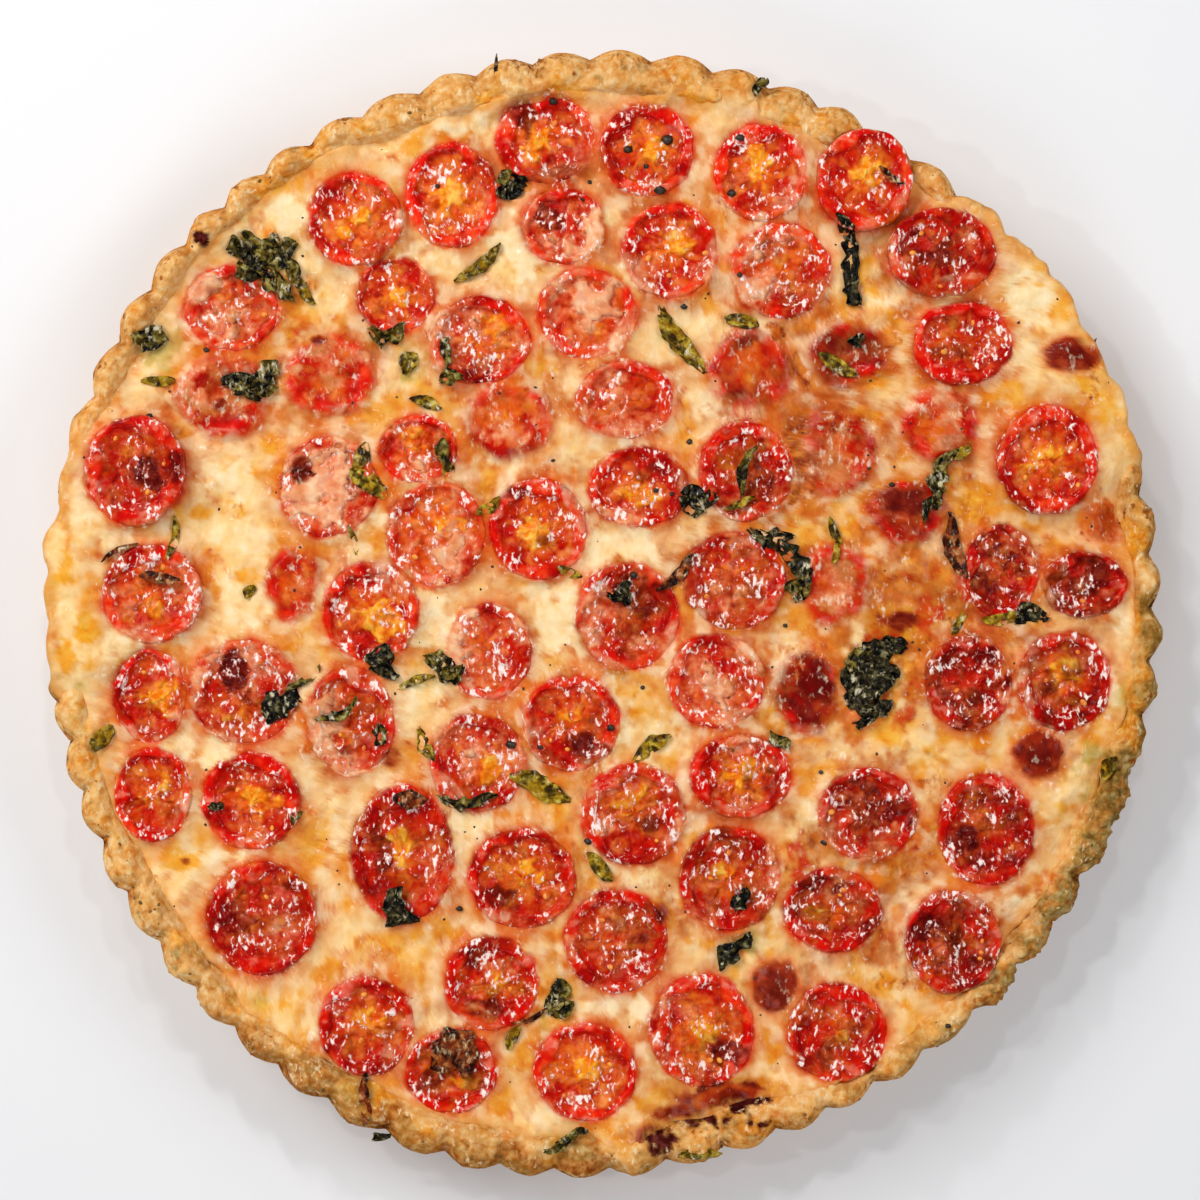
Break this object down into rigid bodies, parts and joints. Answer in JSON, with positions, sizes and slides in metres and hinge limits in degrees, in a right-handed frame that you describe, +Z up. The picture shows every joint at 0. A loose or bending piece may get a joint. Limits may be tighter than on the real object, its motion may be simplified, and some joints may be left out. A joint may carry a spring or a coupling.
{
  "type": "tomato mozzarella tart",
  "caption": "Round savoury tart in a fluted shortcrust case, filled with baked mozzarella, halved cherry tomatoes and dried basil; stands on its flat base as served food.",
  "frame": {"origin": "under the middle of the tart's outline, on the plane that its base rests on", "axes": "+Z up through the filling; +Y towards the top of the tart as it is usually seen from above, +X to the right; Z is the short way"},
  "size_m": [0.2506, 0.2534, 0.0294],
  "materials": {
    "crust": "baked shortcrust pastry, dull and crumbly, flecked with green herbs, toasted on its edges",
    "cheese": "melted mozzarella, oily and glossy, cream with golden and brown patches and dried basil",
    "tomato": "baked cherry tomato, wet and glossy, red skin, orange-red flesh and golden seeds"
  },
  "bodies": {
    "root": {"crust": "crust", "cheese": "cheese", "tomato_01": "tomato", "tomato_02": "tomato", "tomato_03": "tomato", "tomato_04": "tomato", "tomato_05": "tomato", "tomato_06": "tomato", "tomato_07": "tomato", "tomato_08": "tomato", "tomato_09": "tomato", "tomato_10": "tomato", "tomato_11": "tomato", "tomato_12": "tomato", "tomato_13": "tomato", "tomato_14": "tomato", "tomato_15": "tomato", "tomato_16": "tomato", "tomato_17": "tomato", "tomato_18": "tomato", "tomato_19": "tomato", "tomato_20": "tomato", "tomato_21": "tomato", "tomato_22": "tomato", "tomato_23": "tomato", "tomato_24": "tomato", "tomato_25": "tomato", "tomato_26": "tomato", "tomato_27": "tomato", "tomato_28": "tomato", "tomato_29": "tomato", "tomato_30": "tomato", "tomato_31": "tomato", "tomato_32": "tomato", "tomato_33": "tomato", "tomato_34": "tomato", "tomato_35": "tomato", "tomato_36": "tomato", "tomato_37": "tomato", "tomato_38": "tomato", "tomato_39": "tomato", "tomato_40": "tomato", "tomato_41": "tomato", "tomato_42": "tomato", "tomato_43": "tomato", "tomato_44": "tomato", "tomato_45": "tomato", "tomato_46": "tomato", "tomato_47": "tomato", "tomato_48": "tomato", "tomato_49": "tomato", "tomato_50": "tomato", "tomato_51": "tomato", "tomato_52": "tomato", "tomato_53": "tomato", "tomato_54": "tomato", "tomato_55": "tomato", "tomato_56": "tomato", "tomato_57": "tomato", "tomato_58": "tomato"}
  },
  "joints": []
}
